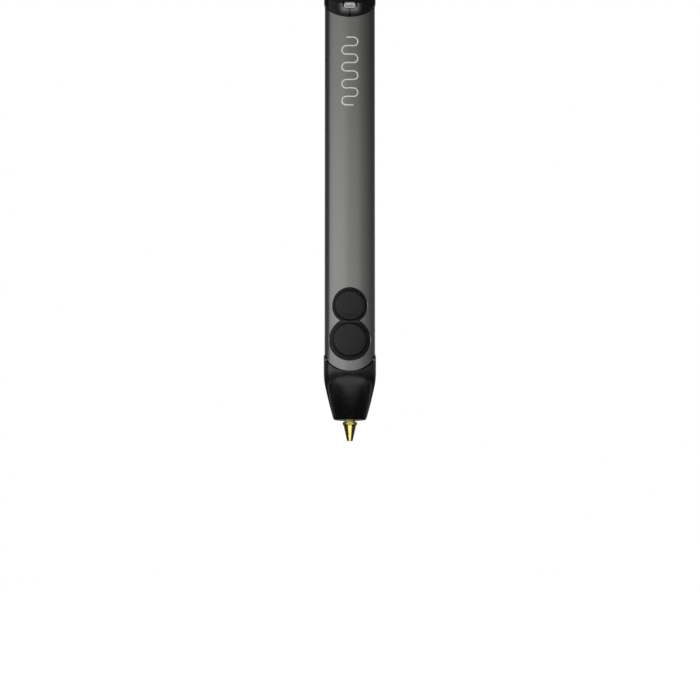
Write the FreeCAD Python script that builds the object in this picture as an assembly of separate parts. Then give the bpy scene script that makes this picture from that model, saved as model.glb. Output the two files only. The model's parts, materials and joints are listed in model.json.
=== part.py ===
"""Handheld pen that melts a plastic strand and extrudes it through a brass nozzle.

Frame: millimetres, +Z from the nozzle's tip towards the tail, origin at the centre of the
tip's flat mouth, -Y the front, where the two speed buttons and the mode switch are.
Every outer shell follows one oval: four tangent arcs, grown or shrunk by an offset.
"""
import FreeCAD
import Part

import math
import os

from FreeCAD import Vector

# ---- driving dimensions --------------------------------------------------------------
LENGTH = 160.0                 # nozzle tip to tail face
HALF_WIDTH = 8.32              # body, in X
HALF_DEPTH = 9.3               # body, in Y
END_C = 2.0                    # front and back arcs are centred this far from the axis
WALL = 0.9                     # extruded body tube
COVER_GROW = 0.3               # nose housing stands proud of the body
TAIL_GROW = 0.25               # collar and tail cap stand proud of the body

CUT_R = 9.4                    # arc that the body tube's upper end is cut to
NOSE_CUT_R = 9.05              # arc that its lower end is cut to
TUBE_BOTTOM = 22.4             # lowest point of the tube's tongue, at the front
TUBE_TOP = 138.75              # lowest point of the tube's scooped upper edge
SEAM_R = 12.25                 # arc between collar and tail cap
SEAM_Z = 143.5                 # lowest point of that arc
GAP = 0.05                     # the outer shells fit the tube closely
GROOVE_WIDTH = 0.45            # dark groove in the nose housing's upper edge
GROOVE_DEPTH = 0.5             # below the tube's surface
GROOVE_HALF = 7.9              # it runs out before the pen's outline
COLLAR_ROUND = 0.35            # the collar's lower edge

FAST_Z = 43.65                 # upper button
FAST_R = 4.9
SLOW_Z = 32.5                  # lower button
SLOW_R = 5.45
FAST_DISH_R = 4.2
SLOW_DISH_R = 4.6
BUTTON_GAP = 0.15
FAST_CUT_R = 5.72              # cut-outs in the tube for the button frame
SLOW_CUT_R = 6.75
CUT_CHAMFER = 0.2
FRAME_DROP = 0.25              # the frame's face lies this far below the tube's
BUTTON_PROUD = 0.25
DISH_DEPTH = 0.35
BUTTON_FLANGE = 0.3            # hidden rim that keeps each cap in
BUTTON_BACK = -3.2             # the caps reach back to this Y
TRAVEL = 0.5                   # of each button

STRAND_R = 1.5                 # plastic strand that the pen takes
GUIDE_R = 1.65                 # bore of both guide tubes
GUIDE_OUT_R = 2.1
PORT_R = 1.9                   # bore of the loading port

HOUSING_BOTTOM = 6.8
HOUSING_WALL = 1.1
MOUTH_R = 3.3                  # opening round the nozzle
TURN_Z = 22.5                  # the housing's side starts to curve in below this
TURN_R = 22.0
SIDE_ANGLE_1 = 12.2            # slope of the housing's side at the end of its upper curve
SIDE_ANGLE_2 = 16.2            # and just above its bottom edge
LIP_R = 0.9                    # bottom edge

HEX_FLATS = 4.2                # nozzle's spanner flats
TIP_R = 0.95
ORIFICE_R = 0.35
ORIFICE_LEN = 1.5
CONE_TOP_Z = 5.0
CONE_TOP_R = 2.05
HEX_TOP_Z = 6.3
NOZZLE_THREAD_R = 2.0
NOZZLE_TOP = 12.5

BARREL_R = 2.9
BARREL_Z0 = 7.0
BARREL_STEP_Z = 20.5
BARREL_STEP_R = 2.4
BARREL_TOP = 27.0
HEATER_R = 3.6
HEATER_Z = (9.5, 18.0)
SHIELD_R = 4.2
SHIELD_Z = (8.6, 17.0)
INSULATOR_R = 3.4
INSULATOR_Z = (21.0, 36.0)

MODULE = 0.4
NUT_TEETH = 16
PINION_TEETH = 10
PRESSURE_ANGLE = 25.0
ADDENDUM = 0.8 * MODULE        # stub teeth, so that the small pinion needs no undercut
DEDENDUM = 1.1 * MODULE
BACKLASH = 0.06
GEAR_Z = (55.0, 59.0)
MOTOR_Y = MODULE * (NUT_TEETH + PINION_TEETH) / 2
MOTOR_R = 3.0
NUT_HUB_R = 2.45
SHAFT_R = 0.75
RUNNING = 0.05                 # radial clearance of a shaft in its bush
BRACKET_Z = (51.0, 63.0)
PLATE = 2.2                    # thickness of the drive bracket's end plates
GEARBOX_TOP = 73.0
MOTOR_TOP = 87.0

BOARD_FRONT = -5.8
BOARD_BACK = -5.0
BOARD_Z = (25.5, 147.5)
CHASSIS_GROW = -1.05
FRONT_CLEAR = -4.8             # inner blocks stay behind this Y where the board passes

KNOB_Z = 142.4
KNOB_HALF_W = 1.95
KNOB_HALF_H = 1.07
KNOB_PROUD = 1.05
KNOB_NECK_HALF_W = 0.8
SLIT_H = 1.4
MODE_TRAVEL = 1.6              # each way
SLIT_HALF_W = KNOB_NECK_HALF_W + MODE_TRAVEL + 0.1
SCOOP_R = 9.0                  # thumb scoop below the knob
SCOOP_DEPTH = 0.35

JACK_Y = 5.2
JACK_R = 2.6
JACK_BORE_R = 1.8
JACK_PIN_R = 0.65
JACK_TAIL_R = 0.45             # the pin's tail through the jack's floor
JACK_Z = (147.5, 159.7)
JACK_FLOOR = 150.0
TAIL_PLATE = 2.5
TAIL_ROUND = 1.6
SCREW_X = 4.7

COVER_Z = 54.0                 # maintenance cover in the back of the tube
COVER_HALF = (3.3, 8.0)

Z = Vector(0, 0, 1)
FAR = 40.0

# ---- the oval ------------------------------------------------------------------------
END_R = HALF_DEPTH - END_C
_k = HALF_WIDTH - END_R
SIDE_C = (END_C**2 - _k**2) / (2 * _k)
SIDE_R = HALF_WIDTH + SIDE_C
HALF_SWEEP = math.degrees(math.atan2(SIDE_C, END_C))


def sectors():
    """The oval's arcs as (centre x, centre y, radius, first angle, sweep), in degrees."""
    side = 90 - HALF_SWEEP
    return [
        (0, -END_C, END_R, 270 - HALF_SWEEP, 2 * HALF_SWEEP),
        (-SIDE_C, 0, SIDE_R, -side, 2 * side),
        (0, END_C, END_R, 90 - HALF_SWEEP, 2 * HALF_SWEEP),
        (SIDE_C, 0, SIDE_R, 180 - side, 2 * side),
    ]


def prism(grow, z0, z1):
    """Solid oval bar, its outline offset outwards by grow."""
    edges = []
    for cx, cy, r, first, sweep in sectors():
        circle = Part.Circle(Vector(cx, cy, z0), Z, r + grow)
        a0 = math.radians(first)
        a1 = math.radians(first + sweep)
        edges.append(Part.ArcOfCircle(circle, a0, a1).toShape())
    return Part.Face(Part.Wire(edges)).extrude(Vector(0, 0, z1 - z0))


def ring(outer, inner, z0, z1):
    """Oval tube between two offsets."""
    return prism(outer, z0, z1).cut(prism(inner, z0 - 1, z1 + 1))


def swept(edges):
    """Sweeps a closed profile, drawn as (offset, 0, z), round the oval."""
    parts = []
    for cx, cy, r, first, sweep in sectors():
        face = Part.Face(Part.Wire([e.copy() for e in edges]))
        face.translate(Vector(r, 0, 0))
        face.rotate(Vector(0, 0, 0), Z, first)
        face.translate(Vector(cx, cy, 0))
        parts.append(face.revolve(Vector(cx, cy, 0), Z, sweep))
    return parts[0].fuse(parts[1:]).removeSplitter()


# ---- small helpers -------------------------------------------------------------------
def rod(r, z0, z1, x=0.0, y=0.0):
    """Cylinder along Z."""
    return Part.makeCylinder(r, z1 - z0, Vector(x, y, z0), Z)


def tube(r_out, r_in, z0, z1, x=0.0, y=0.0):
    """Round tube along Z."""
    return rod(r_out, z0, z1, x, y).cut(rod(r_in, z0 - 1, z1 + 1, x, y))


def cone(r0, r1, z0, z1):
    """Cone along Z, from radius r0 at z0 to r1 at z1."""
    return Part.makeCone(r0, r1, z1 - z0, Vector(0, 0, z0), Z)


def box(x0, x1, y0, y1, z0, z1):
    return Part.makeBox(x1 - x0, y1 - y0, z1 - z0, Vector(x0, y0, z0))


def disc(r, z, y0, y1, x=0.0):
    """Cylinder along Y between two Y values."""
    return Part.makeCylinder(r, y1 - y0, Vector(x, y0, z), Vector(0, 1, 0))


def arc_cutter(r, lowest):
    """Cylinder along Y whose lowest line is at that height."""
    return disc(r, lowest + r, -FAR, FAR)


def below_arc(r, lowest):
    """Everything under the arc's lower half."""
    return box(-FAR, FAR, -FAR, FAR, lowest - FAR, lowest + r).cut(arc_cutter(r, lowest))


def rounded_plate(half_w, half_h, z, y0, y1, corner):
    """Plate normal to Y with rounded corners."""
    plate = box(-half_w, half_w, y0, y1, z - half_h, z + half_h)
    upright = [e for e in plate.Edges if abs(e.tangentAt(e.FirstParameter).y) > 0.99]
    return plate.makeFillet(corner, upright)


def lead(points, wire_r, bend_r):
    """Insulated wire: straight runs joined by tangent arcs."""
    edges = []
    start = points[0]
    for before, corner, after in zip(points, points[1:], points[2:]):
        a = (before - corner).normalize()
        b = (after - corner).normalize()
        half = a.getAngle(b) / 2
        back = bend_r / math.tan(half)
        centre = corner + (a + b).normalize() * (bend_r / math.sin(half))
        middle = centre + (corner - centre).normalize() * bend_r
        first = corner + a * back
        last = corner + b * back
        edges.append(Part.LineSegment(start, first).toShape())
        edges.append(Part.Arc(first, middle, last).toShape())
        start = last
    edges.append(Part.LineSegment(start, points[-1]).toShape())
    section = Part.Wire(Part.makeCircle(wire_r, points[0], points[1] - points[0]))
    return Part.Wire(edges).makePipeShell([section], True, True)


def lead_pair(points, wire_r=0.4, bend_r=1.2):
    """Two wires, mirrored about the plane X = 0."""
    right = [Vector(*p) for p in points]
    left = [Vector(-p.x, p.y, p.z) for p in right]
    return Part.makeCompound([lead(right, wire_r, bend_r), lead(left, wire_r, bend_r)])


def gear_face(teeth, turn, z):
    """Involute spur gear outline; one tooth is centred on the angle turn, in degrees."""
    pitch_r = MODULE * teeth / 2
    base_r = pitch_r * math.cos(math.radians(PRESSURE_ANGLE))
    root_r = pitch_r - DEDENDUM
    tip_r = pitch_r + ADDENDUM
    thickness = math.pi * MODULE / 2 - BACKLASH

    def involute(r):
        a = math.acos(base_r / r)
        return math.tan(a) - a

    def half_angle(r):
        return thickness / (2 * pitch_r) + involute(pitch_r) - involute(r)

    def at(r, angle):
        return Vector(r * math.cos(angle), r * math.sin(angle), z)

    steps = 4
    radii = [base_r + (tip_r - base_r) * i / steps for i in range(steps + 1)]
    base_half = half_angle(base_r)
    edges = []
    for i in range(teeth):
        mid = math.radians(turn) + 2 * math.pi * i / teeth
        rise = [at(root_r, mid - base_half)] + [at(r, mid - half_angle(r)) for r in radii]
        fall = [at(r, mid + half_angle(r)) for r in reversed(radii)]
        fall.append(at(root_r, mid + base_half))
        following = mid + 2 * math.pi / teeth
        edges.append(Part.LineSegment(rise[0], rise[1]).toShape())
        for side in (rise[1:], fall[:-1]):
            curve = Part.BSplineCurve()
            curve.interpolate(side)
            edges.append(curve.toShape())
        edges.append(Part.Arc(rise[-1], at(tip_r, mid), fall[0]).toShape())
        edges.append(Part.LineSegment(fall[-2], fall[-1]).toShape())
        between = at(root_r, (mid + following) / 2)
        edges.append(Part.Arc(fall[-1], between, at(root_r, following - base_half)).toShape())
    return Part.Face(Part.Wire(Part.__sortEdges__(edges)))


# ---- outer shells --------------------------------------------------------------------
def on_outline(edge, grow):
    """True for an edge whose middle lies on the oval of that offset."""
    mid = edge.valueAt((edge.FirstParameter + edge.LastParameter) / 2)
    outside = not prism(grow - 0.02, 0, LENGTH).isInside(mid, 1e-4, True)
    return outside and prism(grow + 0.02, 0, LENGTH).isInside(mid, 1e-4, True)


def outer_arc(shape, r, middle, grow):
    """Edges where a cylinder along Y, centred at that height, meets the oval."""
    edges = []
    for edge in shape.Edges:
        mid = edge.valueAt((edge.FirstParameter + edge.LastParameter) / 2)
        on_arc = abs(math.hypot(mid.x, mid.z - middle) - r) < 0.02
        if on_arc and on_outline(edge, grow):
            edges.append(edge)
    return edges


def button_cutout(spare, y0, y1):
    """Two overlapping discs along Y, the tube's opening grown by spare."""
    upper = disc(FAST_CUT_R + spare, FAST_Z, y0, y1)
    lower = disc(SLOW_CUT_R + spare, SLOW_Z, y0, y1)
    return upper.fuse(lower)


def cover_opening(spare, y0, y1):
    return rounded_plate(COVER_HALF[0] + spare, COVER_HALF[1] + spare, COVER_Z, y0, y1, 2.0)


def body_tube():
    """Aluminium extrusion with a tongue at its lower end and a scoop at its upper end."""
    shape = ring(0, -WALL, TUBE_BOTTOM - 5, TUBE_TOP + CUT_R - 1)
    shape = shape.cut(below_arc(NOSE_CUT_R, TUBE_BOTTOM))
    shape = shape.cut(arc_cutter(CUT_R, TUBE_TOP))
    shape = shape.cut(button_cutout(0, -FAR, -1.5))
    openings = [e for e in shape.Edges if on_outline(e, 0) and e.BoundBox.YMax < -2]
    shape = shape.makeChamfer(CUT_CHAMFER, [e for e in openings if 24 < e.BoundBox.ZMin < 50])
    return shape.cut(cover_opening(0, 0, FAR))


def bend(point, angle0, angle1, r):
    """Middle and end of an arc that turns the housing's side inwards, going down."""
    def at(angle):
        u = point[0] - r * (math.cos(math.radians(angle0)) - math.cos(math.radians(angle)))
        z = point[1] - r * (math.sin(math.radians(angle)) - math.sin(math.radians(angle0)))
        return (u, z)

    return at((angle0 + angle1) / 2), at(angle1)


def housing_side(start, inset):
    """Points of the housing's side, from its straight top to its flat bottom."""
    upper_mid, upper_end = bend(start, 0, SIDE_ANGLE_1, TURN_R - inset)
    lip_start_z = HOUSING_BOTTOM + LIP_R * (1 - math.sin(math.radians(SIDE_ANGLE_2)))
    rise = math.sin(math.radians(SIDE_ANGLE_2)) - math.sin(math.radians(SIDE_ANGLE_1))
    outer_end_z = TURN_Z - TURN_R * math.sin(math.radians(SIDE_ANGLE_1))
    side_r = (outer_end_z - lip_start_z) / rise - inset
    side_mid, side_end = bend(upper_end, SIDE_ANGLE_1, SIDE_ANGLE_2, side_r)
    return upper_mid, upper_end, side_mid, side_end


def nose_housing():
    """Tapered plastic shell round the hot end, with an open mouth."""
    top = TURN_Z + 8

    def v(point):
        return Vector(point[0], 0, point[1])

    start = (COVER_GROW, TURN_Z)
    outer = housing_side(start, 0)
    lip_mid, lip_end = bend(outer[3], SIDE_ANGLE_2, 90, LIP_R)
    inner_start = (COVER_GROW - HOUSING_WALL, TURN_Z)
    inner = housing_side(inner_start, HOUSING_WALL)
    edges = [
        Part.LineSegment(v((start[0], top)), v(start)).toShape(),
        Part.Arc(v(start), v(outer[0]), v(outer[1])).toShape(),
        Part.Arc(v(outer[1]), v(outer[2]), v(outer[3])).toShape(),
        Part.Arc(v(outer[3]), v(lip_mid), v(lip_end)).toShape(),
        Part.LineSegment(v(lip_end), v(inner[3])).toShape(),
        Part.Arc(v(inner[3]), v(inner[2]), v(inner[1])).toShape(),
        Part.Arc(v(inner[1]), v(inner[0]), v(inner_start)).toShape(),
        Part.LineSegment(v(inner_start), v((inner_start[0], top))).toShape(),
        Part.LineSegment(v((inner_start[0], top)), v((start[0], top))).toShape(),
    ]
    floor = prism(lip_end[0], HOUSING_BOTTOM, HOUSING_BOTTOM + HOUSING_WALL)
    shape = swept(edges).fuse(floor).removeSplitter()
    shape = shape.cut(rod(MOUTH_R, 0, LENGTH / 2))
    shape = shape.cut(arc_cutter(NOSE_CUT_R + GAP, TUBE_BOTTOM - GAP))
    groove = arc_cutter(NOSE_CUT_R + GROOVE_WIDTH, TUBE_BOTTOM - GROOVE_WIDTH)
    groove = groove.cut(prism(-GROOVE_DEPTH, 0, LENGTH))
    return shape.cut(groove.common(box(-GROOVE_HALF, GROOVE_HALF, -FAR, FAR, 0, LENGTH)))


def switch_collar():
    """Band that carries the mode switch, with a slit in its upper edge and an index groove."""
    shape = ring(TAIL_GROW, CHASSIS_GROW + 0.05, TUBE_TOP - 2, TUBE_TOP + CUT_R)
    shape = shape.common(arc_cutter(CUT_R - GAP, TUBE_TOP + GAP))
    shape = shape.cut(arc_cutter(SEAM_R, SEAM_Z))
    lower = outer_arc(shape, CUT_R - GAP, TUBE_TOP + CUT_R, TAIL_GROW)
    shape = shape.makeFillet(COLLAR_ROUND, lower)
    face_y = -(HALF_DEPTH + TAIL_GROW)
    notch = rounded_plate(SLIT_HALF_W, SLIT_H, SEAM_Z, -FAR, 0, 0.5)
    scoop = Part.makeCylinder(
        SCOOP_R, FAR, Vector(-FAR / 2, face_y + SCOOP_DEPTH - SCOOP_R, KNOB_Z), Vector(1, 0, 0)
    )
    groove = box(-0.2, 0.2, face_y - 1, face_y + 0.45, TUBE_TOP + 0.5, KNOB_Z - 1.2)
    return shape.cut(notch).cut(scoop).cut(groove)


def tail_cap():
    """End cap with the loading port, the power inlet and two screw seats."""
    shape = prism(TAIL_GROW, SEAM_Z - 3, LENGTH)
    rim = [e for e in shape.Edges if e.BoundBox.ZMin > LENGTH - 0.01]
    shape = shape.makeFillet(TAIL_ROUND, rim)
    shape = shape.cut(prism(CHASSIS_GROW + 0.05, SEAM_Z - 4, LENGTH - TAIL_PLATE))
    shape = shape.cut(below_arc(SEAM_R - 0.1, SEAM_Z + 0.1))
    shape = shape.cut(rod(PORT_R + 0.62, SEAM_Z, LENGTH + 1))
    shape = shape.cut(rod(JACK_R + 0.02, SEAM_Z, LENGTH + 1, 0, JACK_Y))
    for x in (-SCREW_X, SCREW_X):
        shape = shape.cut(rod(0.85, SEAM_Z, LENGTH + 1, x))
        shape = shape.cut(rod(1.5, LENGTH - 1.1, LENGTH + 1, x))
    return shape


def maintenance_cover():
    """Flush snap-in cover behind the feed gear, with a tongue at each end."""
    y0 = HALF_DEPTH - 3
    plug = cover_opening(-0.08, y0, FAR).common(ring(-0.02, -0.95, 0, LENGTH))
    tongue_z = COVER_HALF[1] + 0.8
    tongue = box(-2, 2, y0, FAR, COVER_Z - tongue_z, COVER_Z + tongue_z)
    tongue = tongue.common(ring(-WALL - 0.06, -1.4, 0, LENGTH))
    root = cover_opening(-0.6, y0, FAR).common(ring(-0.5, -1.4, 0, LENGTH))
    notch = disc(0.7, COVER_Z - COVER_HALF[1] + 0.1, HALF_DEPTH - 0.35, FAR)
    return plug.fuse([tongue, root]).removeSplitter().cut(notch)


# ---- controls ------------------------------------------------------------------------
def button_frame():
    """Figure-of-eight frame in the tube's opening, with a flange behind the wall."""
    plug = button_cutout(-0.06, -FAR, -2.2).common(ring(-FRAME_DROP, -1.4, 0, LENGTH))
    flange = button_cutout(0.7, -FAR, -2.2).common(ring(-WALL - 0.05, -1.4, 0, LENGTH))
    shape = plug.fuse(flange).removeSplitter()
    shape = shape.cut(disc(FAST_R + BUTTON_GAP, FAST_Z, -FAR, 0))
    return shape.cut(disc(SLOW_R + BUTTON_GAP, SLOW_Z, -FAR, 0))


def button_cap(r, dish_r, z):
    """Cap that follows the oval, recessed in the middle, with a hidden retaining flange."""
    bore = dish_r - 0.1
    whole = disc(r, z, -FAR, BUTTON_BACK)
    skin = whole.common(ring(BUTTON_PROUD, -1.3, 0, LENGTH))
    rim = whole.cut(disc(bore, z, -FAR, 0)).common(ring(BUTTON_PROUD, -1.95, 0, LENGTH))
    flange = disc(r + BUTTON_FLANGE, z, -FAR, BUTTON_BACK).cut(disc(bore, z, -FAR, 0))
    flange = flange.common(ring(-1.5, -1.95, 0, LENGTH))
    post = disc(1.0, z, -8.1, -7.7)
    shape = skin.fuse([rim, flange, post]).removeSplitter()
    dish = disc(dish_r, z, -FAR, -3).cut(prism(BUTTON_PROUD - DISH_DEPTH, 0, LENGTH))
    return shape.cut(dish)


def tact_body(z):
    """Key switch on the board, with a pocket for its plunger."""
    half = 1.75
    front = BOARD_FRONT - 1.1
    shape = box(-half, half, front, BOARD_FRONT, z - half, z + half)
    return shape.cut(disc(0.85, z, front - 1, front + TRAVEL + 0.5))


def tact_plunger(z):
    return disc(0.8, z, -7.7, -6.45)


def mode_knob():
    """Pill-shaped slider knob with a flat neck that goes through the collar's slit."""
    y_face = -(HALF_DEPTH + TAIL_GROW)
    pill = rounded_plate(
        KNOB_HALF_W, KNOB_HALF_H, KNOB_Z, y_face - KNOB_PROUD, y_face - 0.12, 0.85
    )
    front = [e for e in pill.Edges if e.BoundBox.YMax < y_face - KNOB_PROUD + 0.01]
    pill = pill.makeFillet(0.4, front)
    half = KNOB_NECK_HALF_W
    neck = box(-half, half, y_face - 0.3, -8.15, SEAM_Z - SLIT_H + 0.15, SEAM_Z - 0.05)
    return pill.fuse(neck).removeSplitter()


def mode_switch():
    """Slide switch on the board, open at the front for its actuator."""
    mid = SEAM_Z - SLIT_H / 2
    front = BOARD_FRONT - 1.5
    slot = KNOB_NECK_HALF_W + MODE_TRAVEL + 0.2
    shape = box(-slot - 0.5, slot + 0.5, front, BOARD_FRONT, mid - 1.7, mid + 1.7)
    return shape.cut(box(-slot, slot, front - 1, BOARD_FRONT - 0.4, mid - 0.7, mid + 0.7))


def mode_actuator():
    mid = SEAM_Z - SLIT_H / 2
    half = KNOB_NECK_HALF_W
    return box(-half, half, -8.14, BOARD_FRONT - 0.5, mid - 0.6, mid + 0.6)


# ---- hot end -------------------------------------------------------------------------
def nozzle():
    """Brass nozzle: cone, spanner flats chamfered on both sides, neck and screwed shank."""
    corner_r = HEX_FLATS / math.sqrt(3)
    corners = []
    for i in range(7):
        a = math.radians(60 * i)
        corners.append(Vector(corner_r * math.cos(a), corner_r * math.sin(a), CONE_TOP_Z))
    hexagon = Part.Face(Part.makePolygon(corners)).extrude(
        Vector(0, 0, HEX_TOP_Z - CONE_TOP_Z)
    )
    mid = CONE_TOP_Z + 0.45
    chamfer = cone(CONE_TOP_R, corner_r, CONE_TOP_Z, mid)
    chamfer = chamfer.fuse(rod(corner_r, mid, mid + 0.25))
    chamfer = chamfer.fuse(cone(corner_r, CONE_TOP_R, mid + 0.25, HEX_TOP_Z))
    shape = cone(TIP_R, CONE_TOP_R, 0, CONE_TOP_Z).fuse(hexagon.common(chamfer))
    shape = shape.fuse(rod(1.65, HEX_TOP_Z, NOZZLE_TOP - 4.8))
    shape = shape.fuse(rod(NOZZLE_THREAD_R, NOZZLE_TOP - 4.8, NOZZLE_TOP)).removeSplitter()
    shape = shape.cut(rod(ORIFICE_R, -1, ORIFICE_LEN))
    shape = shape.cut(cone(ORIFICE_R, 1.0, ORIFICE_LEN, CONE_TOP_Z + 0.4))
    return shape.cut(rod(1.0, CONE_TOP_Z + 0.4, NOZZLE_TOP + 1))


def melt_barrel():
    """Brass barrel that melts the strand; the nozzle screws into its lower end."""
    shape = rod(BARREL_R, BARREL_Z0, BARREL_STEP_Z)
    shape = shape.fuse(rod(BARREL_STEP_R, BARREL_STEP_Z, BARREL_TOP)).removeSplitter()
    shape = shape.cut(rod(NOZZLE_THREAD_R + 0.02, BARREL_Z0 - 1, NOZZLE_TOP + 0.1))
    return shape.cut(rod(GUIDE_R, NOZZLE_TOP, BARREL_TOP + 1))


def insulator():
    """Heat break between the melt barrel and the lower guide tube."""
    z0, z1 = INSULATOR_Z
    shape = tube(INSULATOR_R, GUIDE_R, z0, z1)
    shape = shape.cut(rod(BARREL_STEP_R + 0.02, z0 - 1, BARREL_TOP + 0.05))
    return shape.cut(rod(GUIDE_OUT_R + 0.02, z1 - 3, z1 + 1))


def thermistor():
    """Glass bead against the barrel, above the heater."""
    return Part.makeSphere(0.55, Vector(0, -(BARREL_R + 0.58), 19.2))


# ---- feed drive ----------------------------------------------------------------------
def feed_nut():
    """Hollow gear whose inner thread cuts into the strand and drives it down."""
    z0, z1 = BRACKET_Z
    shape = rod(NUT_HUB_R, z0 + 0.05, z1 - 0.05)
    teeth = gear_face(NUT_TEETH, 90, GEAR_Z[0]).extrude(Vector(0, 0, GEAR_Z[1] - GEAR_Z[0]))
    shape = shape.fuse(teeth)
    for shoulder in (z0 + PLATE + 0.1, z1 - PLATE - 0.6):
        shape = shape.fuse(rod(NUT_HUB_R + 0.45, shoulder, shoulder + 0.5))
    shape = shape.removeSplitter().cut(rod(STRAND_R + 0.02, 0, LENGTH))
    ridges = []
    pitch = 0.8
    count = int((GEAR_Z[1] - GEAR_Z[0]) / pitch)
    for i in range(count):
        z = GEAR_Z[0] + pitch * (i + 0.5)
        ridge = tube(STRAND_R + 0.1, STRAND_R - 0.12, z - 0.3, z + 0.3)
        edge = cone(STRAND_R + 0.2, STRAND_R - 0.12, z - 0.3, z)
        edge = edge.fuse(cone(STRAND_R - 0.12, STRAND_R + 0.2, z, z + 0.3))
        ridges.append(ridge.cut(edge))
    shape = shape.fuse(ridges)
    for end, mouth in ((z0, -1), (z1, 1)):
        inner = STRAND_R + 0.02
        low, high = sorted((end, end - mouth * 0.8))
        radii = (inner + 0.4, inner) if mouth < 0 else (inner, inner + 0.4)
        shape = shape.cut(cone(radii[0], radii[1], low, high))
    return shape


def drive_pinion():
    teeth = gear_face(PINION_TEETH, 270 + 180 / PINION_TEETH, GEAR_Z[0])
    shape = teeth.extrude(Vector(0, 0, GEAR_Z[1] - GEAR_Z[0]))
    shape.translate(Vector(0, MOTOR_Y, 0))
    return shape.cut(rod(SHAFT_R, 0, LENGTH, 0, MOTOR_Y))


def output_shaft():
    return rod(SHAFT_R, BRACKET_Z[0] + 0.6, BRACKET_Z[1] + 3, 0, MOTOR_Y)


def drive_bracket():
    """Frame that holds the nut's bushes, the pinion's shaft and the gear motor."""
    z0, z1 = BRACKET_Z
    shape = prism(-1.85, z0, z1)
    shape = shape.cut(box(-FAR, FAR, -FAR, -4.6, z0 - 1, z1 + 1))
    shape = shape.cut(box(-4.3, 4.3, -FAR, FAR, z0 + PLATE, z1 - PLATE))
    shape = shape.cut(rod(3.2, z0 - 1, z1 + 1))
    shape = shape.cut(rod(SHAFT_R + RUNNING, z0 - 1, z0 + PLATE + 1, 0, MOTOR_Y))
    return shape.cut(rod(1.3, z1 - PLATE - 1, z1 + 1, 0, MOTOR_Y))


def feed_bushes():
    z0, z1 = BRACKET_Z
    lower = tube(3.18, NUT_HUB_R + RUNNING, z0, z0 + PLATE)
    upper = tube(3.18, NUT_HUB_R + RUNNING, z1 - PLATE, z1)
    return Part.makeCompound([lower, upper])


def gearbox_case():
    z0 = BRACKET_Z[1] + 0.05
    shape = rod(MOTOR_R, z0, GEARBOX_TOP, 0, MOTOR_Y)
    return shape.cut(rod(SHAFT_R + RUNNING, z0 - 1, z0 + 3.2, 0, MOTOR_Y))


def motor_can():
    can = rod(MOTOR_R - 0.05, GEARBOX_TOP + 0.02, MOTOR_TOP, 0, MOTOR_Y)
    rim = [e for e in can.Edges if e.BoundBox.ZMin > MOTOR_TOP - 0.01]
    return can.makeFillet(0.4, rim)


def motor_end_cap():
    return rod(2.2, MOTOR_TOP + 0.02, MOTOR_TOP + 1.2, 0, MOTOR_Y)


def motor_terminals():
    tabs = []
    for x in (-1.3, 1.3):
        tabs.append(
            box(x - 0.35, x + 0.35, MOTOR_Y - 0.1, MOTOR_Y + 0.1, MOTOR_TOP + 1.22, MOTOR_TOP + 3)
        )
    return Part.makeCompound(tabs)


# ---- inner structure -----------------------------------------------------------------
def nose_block():
    """Plug that joins the tube to the hot end and carries the nose housing."""
    shape = prism(CHASSIS_GROW, 20.5, 34.0)
    shape = shape.cut(box(-FAR, FAR, -FAR, -1.5, 24.2, 40))
    shape = shape.cut(rod(INSULATOR_R + 0.02, 0, 40))
    for x0, x1 in ((-5.6, -3.7), (3.7, 5.6)):
        shape = shape.cut(box(x0, x1, -1.2, 1.2, 0, 40))
        shape = shape.cut(box(x0 - 0.2, x1 + 0.2, -2.0, 1.2, 30, 40))
    shape = shape.cut(box(-1.4, 1.4, -5.6, -3.0, 0, 40))
    return shape


def chassis():
    """Skeleton behind the board, from the nose block to the tail block."""
    shape = ring(CHASSIS_GROW, -1.75, 34.05, 126.9)
    shape = shape.cut(box(-FAR, FAR, -FAR, BUTTON_BACK - 0.3, 0, LENGTH))
    pocket_top = FAST_Z + FAST_R + 1.7
    shape = shape.cut(box(-FAR, FAR, -FAR, BUTTON_BACK + TRAVEL + 0.7, 0, pocket_top))
    shape = shape.cut(box(-3.6, 3.6, 0, FAR, 42, 100))
    for z in (90.5, 108.5):
        plate = prism(CHASSIS_GROW, z, z + 1.5)
        plate = plate.cut(box(-FAR, FAR, -FAR, FRONT_CLEAR, z - 1, z + 3))
        plate = plate.cut(rod(GUIDE_OUT_R + 0.03, z - 1, z + 3))
        plate = plate.cut(box(-4.6, 4.6, -FAR, FAR, z - 1, z + 3).cut(
            box(-4.7, 4.7, -2.9, 2.9, z - 2, z + 4)))
        shape = shape.fuse(plate)
    return shape.removeSplitter()


def tail_block():
    """Plug that joins the tube, the collar and the tail cap."""
    shape = prism(CHASSIS_GROW, 127.0, LENGTH - TAIL_PLATE - 0.02)
    shape = shape.cut(box(-FAR, FAR, -FAR, FRONT_CLEAR, 120, 148.5))
    shape = shape.cut(rod(GUIDE_OUT_R + 0.03, 120, 151.0))
    shape = shape.cut(rod(PORT_R + 0.62, 151.0, LENGTH))
    shape = shape.cut(rod(JACK_R + 0.02, JACK_Z[0] - 4, LENGTH, 0, JACK_Y))
    for x0, x1 in ((-4.8, -2.3), (2.3, 4.8)):
        shape = shape.cut(box(x0, x1, FRONT_CLEAR - 1, JACK_Y + 0.6, 142.5, 146.5))
    shape = shape.cut(box(-4.8, 4.8, JACK_Y - 1, JACK_Y + 0.6, 142.5, 146.5))
    for x in (-SCREW_X, SCREW_X):
        shape = shape.cut(rod(0.8, 151.0, LENGTH, x))
    return shape


def port_liner():
    """Smooth bush that guides the strand into the pen."""
    z0 = 151.0
    shape = tube(PORT_R + 0.6, PORT_R, z0 + 0.02, LENGTH)
    return shape.cut(cone(PORT_R - 0.2, PORT_R + 0.5, LENGTH - 1.2, LENGTH + 0.01))


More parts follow.
